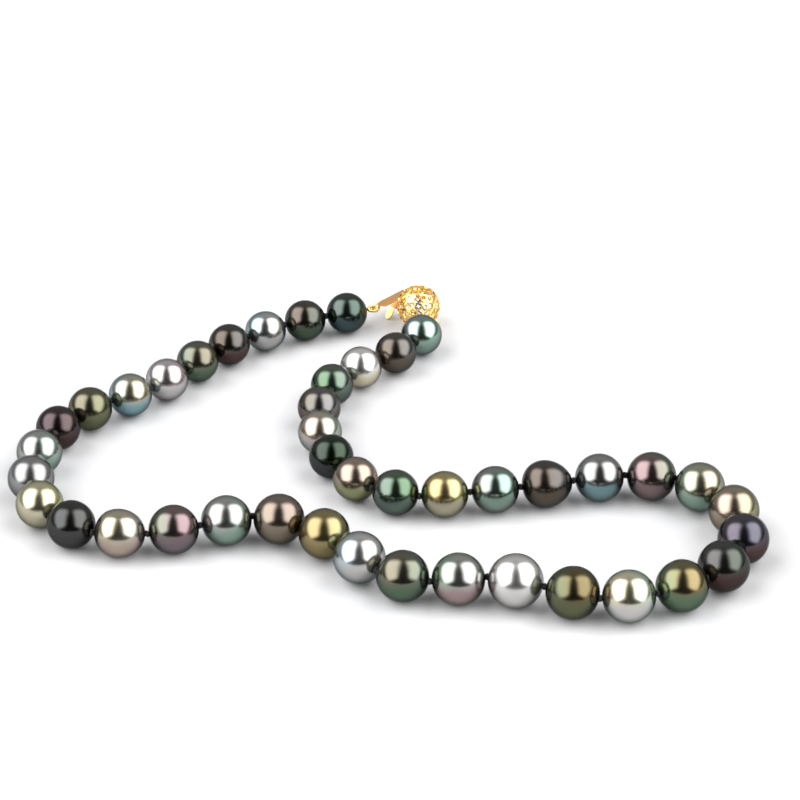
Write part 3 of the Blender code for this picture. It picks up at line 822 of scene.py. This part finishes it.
def slot_frame():
    """The rim round the slot that the tongue goes through."""
    builder = bmesh.new()
    bmesh.ops.create_grid(builder, x_segments=1, y_segments=1, size=0.5)
    size = Matrix.Diagonal((SLOT_HEIGHT + 2 * SLOT_RIM, SLOT_WIDTH + 2 * SLOT_RIM, 1, 1))
    place = Matrix.Translation((BALL_RADIUS - 0.62 * MM, 0, 0))
    upright = place @ Matrix.Rotation(pi / 2, 4, "Y") @ size
    bmesh.ops.transform(builder, matrix=upright, verts=builder.verts)
    bmesh.ops.inset_region(builder, faces=builder.faces[:], thickness=SLOT_RIM)
    opening = min(builder.faces, key=lambda face: face.calc_center_median().yz.length)
    bmesh.ops.delete(builder, geom=[opening], context="FACES")
    grown = bmesh.ops.extrude_face_region(builder, geom=builder.faces[:])
    moved = [item for item in grown["geom"] if isinstance(item, bmesh.types.BMVert)]
    bmesh.ops.translate(builder, vec=(SLOT_RIM_DEPTH, 0, 0), verts=moved)
    bmesh.ops.recalc_face_normals(builder, faces=builder.faces)
    return builder


def seam_piece(matrix, material):
    """The band between the half shells, open at the slot, and the slot's frame."""
    inner = BALL_RADIUS - BAND_WALL
    half = BAND_HEIGHT / 2
    section = [
        (inner, -half),
        (BALL_RADIUS, -half),
        (BALL_RADIUS + 0.02 * MM, 0.0),
        (BALL_RADIUS, half),
        (inner, half),
    ]
    gap = asin(SLOT_WIDTH / 2 / BALL_RADIUS)
    builder = bmesh.new()
    builder.faces.new(chain(builder, [(x, 0, z) for x, z in section], closed=True))
    start = Matrix.Rotation(gap, 3, "Z")
    bmesh.ops.rotate(builder, cent=(0, 0, 0), matrix=start, verts=builder.verts)
    bmesh.ops.spin(
        builder,
        geom=builder.verts[:] + builder.edges[:] + builder.faces[:],
        axis=(0, 0, 1),
        cent=(0, 0, 0),
        angle=2 * pi - 2 * gap,
        steps=90,
        use_merge=False,
    )
    bmesh.ops.recalc_face_normals(builder, faces=builder.faces)
    pour(slot_frame(), builder)
    bmesh.ops.transform(builder, matrix=matrix, verts=builder.verts)
    piece = new_piece("gold_seam_band", builder, material, smooth=False)
    soften(piece, 0.06 * MM)
    stand_in(piece, "ball", "seam_band")


def ring_piece(name, node, body, level, material):
    """A round wire ring that stands upright in line with the piece that it carries."""
    builder = bmesh.new()
    across = level.cross(UP)
    torus(builder, RING_RADIUS, RING_WIRE / 2, along_z(across, middle_of(node)))
    piece = new_piece(name, builder, material)
    stand_in(piece, body, node)


def gimp_piece(name, node, body, material):
    """A loop of fine wire wound in a close coil, level, out of an end pearl's hole."""
    gimp = bpy.context.scene.necklace_sizes.gimp
    centre = middle_of(node)
    steps = LOOP_TURNS * 10
    core = LOOP_WIRE / 2 - gimp / 2
    points = []
    for step in range(steps):
        round_loop = 2 * pi * step / steps
        wound = round_loop * LOOP_TURNS
        reach = RING_RADIUS + core * cos(wound)
        points.append(centre + Vector((reach * cos(round_loop), reach * sin(round_loop), core * sin(wound))))
    builder = bmesh.new()
    wire(builder, points, gimp, 6, closed=True)
    torus(builder, RING_RADIUS, core, Matrix.Translation(centre), 40, 8)
    piece = new_piece(name, builder, material)
    stand_in(piece, body, node)


class NECKLACE_OT_ball(Operator):
    """Builds the openwork ball of the clasp, its ring and its wire loop"""

    bl_idname = "necklace.ball"
    bl_label = "Clasp ball"

    def execute(self, context):
        gold = polished_gold()
        near = ball_axes()
        far = near @ Matrix.Rotation(pi, 4, "X")
        ball_half_piece("filigree_near", "ball_shell_near", near, gold)
        ball_half_piece("filigree_far", "ball_shell_far", far, gold)
        seam_piece(near, gold)
        cage_piece(near, gold)
        level = near.col[0].to_3d()
        level.z = 0
        ring_piece("gold_ring_ball", "ball_ring", "ball", level.normalized(), gold)
        gimp_piece("gimp_loop_ball", "wire_loop_ball", f"pearl_{PEARL_COUNT:02d}", gold)
        return {"FINISHED"}


def tongue_direction():
    """Level, from the tongue's ring to its fold."""
    along = pivot("tongue_spring_flex") - pivot("tongue_swivel")
    along.z = 0
    return along.normalized()


def thicken(builder, outline, thickness):
    """A flat outline in X and Y made this thick, evenly up and down."""
    face = builder.faces.new([builder.verts.new((x, y, -thickness / 2)) for x, y in outline])
    grown = bmesh.ops.extrude_face_region(builder, geom=[face])
    top = [item for item in grown["geom"] if isinstance(item, bmesh.types.BMVert)]
    bmesh.ops.translate(builder, vec=(0, 0, thickness), verts=top)
    bmesh.ops.recalc_face_normals(builder, faces=builder.faces)


def leaf_piece(along, material):
    """The tongue's flat leaf, with a rounded foot and soft edges."""
    half = TONGUE_WIDTH / 2
    outline = []
    for step in range(17):
        turn = pi / 2 + pi * step / 16
        outline.append((TONGUE_FOOT + half + half * cos(turn), half * sin(turn)))
    outline += [(TONGUE_FOOT + TONGUE_LENGTH, -half), (TONGUE_FOOT + TONGUE_LENGTH, half)]
    builder = bmesh.new()
    thicken(builder, outline, TONGUE_THICKNESS)
    bmesh.ops.transform(builder, matrix=axes(along, UP, pivot("tongue_swivel")), verts=builder.verts)
    piece = new_piece("gold_tongue_leaf", builder, material, smooth=False)
    soften(piece, 0.07 * MM, 3)
    stand_in(piece, "tongue", "tongue_leaf")


def spring_piece(along, material):
    """The fold and the springy strip under the leaf, as one bent strip."""
    half = SPRING_THICKNESS / 2
    bend = asin(half / FOLD_RADIUS)
    outline = []
    for step in range(25):
        turn = pi - bend + (2 * bend - 2 * pi) * step / 24
        outline.append((FOLD_RADIUS * cos(turn), FOLD_RADIUS * sin(turn)))
    outline += [(-SPRING_LENGTH, -half), (-SPRING_LENGTH, half)]
    builder = bmesh.new()
    thicken(builder, outline, SPRING_WIDTH)
    strip = along * cos(SPRING_OPENING) + UP * sin(SPRING_OPENING)
    matrix = axes(strip, along.cross(UP), pivot("tongue_spring_flex"))
    bmesh.ops.transform(builder, matrix=matrix, verts=builder.verts)
    piece = new_piece("gold_tongue_spring", builder, material, smooth=False)
    soften(piece, 0.05 * MM)
    stand_in(piece, "tongue_spring", "tongue_spring")


class NECKLACE_OT_tongue(Operator):
    """Builds the tongue of the clasp, its spring, thumb tab, ring and wire loop"""

    bl_idname = "necklace.tongue"
    bl_label = "Clasp tongue"

    def execute(self, context):
        along = tongue_direction()
        brushed = brushed_gold(along)
        gold = polished_gold()
        leaf_piece(along, brushed)
        spring_piece(along, brushed)
        tab = frame["nodes"]["thumb_tab"]
        tab.data.materials.clear()
        tab.data.materials.append(brushed)
        ring_piece("gold_ring_tongue", "tongue_ring", "tongue", along, gold)
        gimp_piece("gimp_loop_tongue", "wire_loop_tongue", "pearl_01", gold)
        return {"FINISHED"}


# -------------------------------------------------------------------------------------------- stage


def floor_material():
    """Pale paper."""
    colours = bpy.context.scene.metal_colours
    recipe = Recipe(bpy.data.materials.new("floor_paper"))
    tooth = recipe.noise(recipe.place(Vector()), 900.0, 3.0)
    colour = recipe.mix(tooth, rgba(colours.floor), rgba(colours.floor, 1.02))
    return recipe.finish(Base_Color=colour, Roughness=0.9, Specular_IOR_Level=0.1)


def add_camera():
    """A long lens that looks down over the strand's near side."""
    camera = bpy.data.cameras.new("camera")
    camera.lens = CAMERA_LENS
    camera.sensor_width = 36
    camera.clip_start = 0.05
    camera.clip_end = 20
    holder = bpy.data.objects.new("camera", camera)
    back = Vector((0, -cos(CAMERA_ELEVATION), sin(CAMERA_ELEVATION)))
    holder.location = Vector(CAMERA_TARGET) + back * CAMERA_DISTANCE
    holder.rotation_euler = (-back).to_track_quat("-Z", "Y").to_euler()
    bpy.context.scene.collection.objects.link(holder)
    bpy.context.scene.camera = holder


def softbox(recipe, way, side):
    """1 inside a large softbox up at one side of the camera, fading to 0 over its soft edges."""
    facing = Vector((SOFTBOX_HEIGHT * side, -SOFTBOX_FORWARD, SOFTBOX_HEIGHT)).normalized()
    zenith = (UP - facing * UP.dot(facing)).normalized()
    behind = zenith.cross(facing) * side
    long_way = behind * cos(SOFTBOX_LEAN) + zenith * sin(SOFTBOX_LEAN)
    short_way = facing.cross(long_way)
    ahead = recipe.along(way, facing)
    inside = recipe.between(ahead, 0.05, 0.15)
    for direction, (middle, half) in ((long_way, SOFTBOX_LONG), (short_way, SOFTBOX_SHORT)):
        aside = recipe.along(way, direction) - ahead * middle
        off = recipe.node("ShaderNodeMath", {"operation": "ABSOLUTE"}, {0: aside})
        inside = inside * recipe.between(ahead * half - off, *SOFTBOX_EDGE)
    return inside


def add_world():
    """Two softboxes, a pale wall behind the object and a dark room in front; the camera sees only white."""
    recipe = Recipe(bpy.data.worlds.new("studio"))
    way = recipe.node("ShaderNodeTexCoord", output="Generated")
    wall = recipe.between(recipe.reach(way, "Y"), -0.3, 0.9) * WALL_RADIANCE
    glow = softbox(recipe, way, 1) + softbox(recipe, way, -1)
    lit = glow * SOFTBOX_RADIANCE + wall + ROOM_RADIANCE
    seen = recipe.node("ShaderNodeLightPath", output="Is Camera Ray")
    strength = recipe.node("ShaderNodeMix", {"data_type": "FLOAT"}, {0: seen, 2: lit, 3: 1.0})
    bpy.context.scene.world = recipe.finish("Background", Strength=strength, Color=(1.0, 1.0, 1.0, 1.0))


class NECKLACE_OT_stage(Operator):
    """Builds the floor, the lights and the camera"""

    bl_idname = "necklace.stage"
    bl_label = "Stage"

    def execute(self, context):
        builder = bmesh.new()
        middle = Matrix.Translation(FLOOR_MIDDLE)
        bmesh.ops.create_circle(builder, cap_ends=True, segments=96, radius=FLOOR_RADIUS, matrix=middle)
        floor = new_piece("floor", builder, floor_material(), smooth=False)
        add_camera()
        add_world()
        context.scene.view_settings.view_transform = "Standard"
        return {"FINISHED"}


# ------------------------------------------------------------------------------------------- add-on


class NECKLACE_PT_panel(Panel):
    """The necklace's sizes, colours and steps"""

    bl_idname = "NECKLACE_PT_panel"
    bl_label = "Pearl Necklace"
    bl_space_type = "VIEW_3D"
    bl_region_type = "UI"
    bl_category = "Necklace"

    def draw(self, context):
        for group in (context.scene.necklace_sizes, context.scene.metal_colours, context.scene.nacre_hues):
            column = self.layout.column()
            for name in group.bl_rna.properties.keys():
                if name not in ("rna_type", "name"):
                    column.prop(group, name)
        for operator in STEPS:
            self.layout.operator(operator.bl_idname)


GROUPS = (NacreHues, MetalColours, NecklaceSizes)
STEPS = (NECKLACE_OT_stage, NECKLACE_OT_pearls, NECKLACE_OT_knots, NECKLACE_OT_ball, NECKLACE_OT_tongue)


def register():
    for item in (*GROUPS, *STEPS, NECKLACE_PT_panel):
        bpy.utils.register_class(item)
    bpy.types.Scene.nacre_hues = PointerProperty(type=NacreHues)
    bpy.types.Scene.metal_colours = PointerProperty(type=MetalColours)
    bpy.types.Scene.necklace_sizes = PointerProperty(type=NecklaceSizes)


def unregister():
    del bpy.types.Scene.necklace_sizes
    del bpy.types.Scene.metal_colours
    del bpy.types.Scene.nacre_hues
    for item in reversed((*GROUPS, *STEPS, NECKLACE_PT_panel)):
        bpy.utils.unregister_class(item)


def main():
    register()
    bpy.ops.necklace.stage()
    bpy.ops.necklace.pearls()
    bpy.ops.necklace.knots()
    bpy.ops.necklace.ball()
    bpy.ops.necklace.tongue()


if __name__ == "__main__":
    main()
